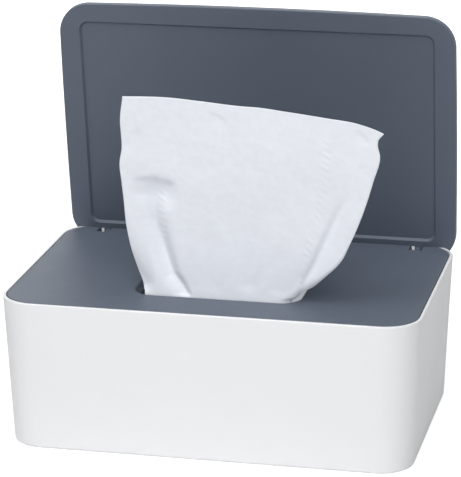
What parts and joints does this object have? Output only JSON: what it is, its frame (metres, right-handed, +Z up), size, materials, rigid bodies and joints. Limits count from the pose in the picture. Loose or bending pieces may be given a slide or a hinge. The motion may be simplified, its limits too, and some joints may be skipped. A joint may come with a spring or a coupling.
{
  "type": "countertop wipes dispenser",
  "caption": "Rectangular tub with a lift-off flush cover, a rounded dispensing opening, a full-size flip lid on a rear hinge and a wipe pulled up through the opening.",
  "frame": {"origin": "centre of the box on the table it stands on; the flat underside lies just above it", "axes": "+X to the right as seen from the front, +Y from the front to the hinge side, +Z up"},
  "size_m": [0.188, 0.1281, 0.1812],
  "materials": {
    "white_plastic": "satin white moulded polypropylene",
    "grey_plastic": "matte cool grey moulded plastic",
    "pin_steel": "plain drawn wire",
    "gasket_silicone": "soft translucent grey silicone",
    "foot_silicone": "matte pale grey silicone",
    "wipe_cloth": "white non-woven cloth with a fine embossed grain"
  },
  "bodies": {
    "tub": {"box_body": "white_plastic", "foot_front_left": "foot_silicone", "foot_front_right": "foot_silicone", "foot_rear_left": "foot_silicone", "foot_rear_right": "foot_silicone", "wipe_stack": "wipe_cloth"},
    "cover": {"top_cover": "grey_plastic", "cover_gasket": "gasket_silicone", "hinge_pin_left": "pin_steel", "hinge_pin_right": "pin_steel", "pulled_wipe": "wipe_cloth"},
    "lid": {"flip_lid": "grey_plastic"}
  },
  "joints": [
    {"name": "cover_lift", "type": "slide", "parent": "tub", "child": "cover", "axis": [0, 0, 1], "range_m": [0, 0.03]},
    {"name": "lid_hinge", "type": "hinge", "parent": "cover", "child": "lid", "pos_m": [0, 0.0565, 0.0631], "axis": [1, 0, 0], "range_deg": [0, 82.3], "deforming": ["pulled_wipe"]}
  ]
}
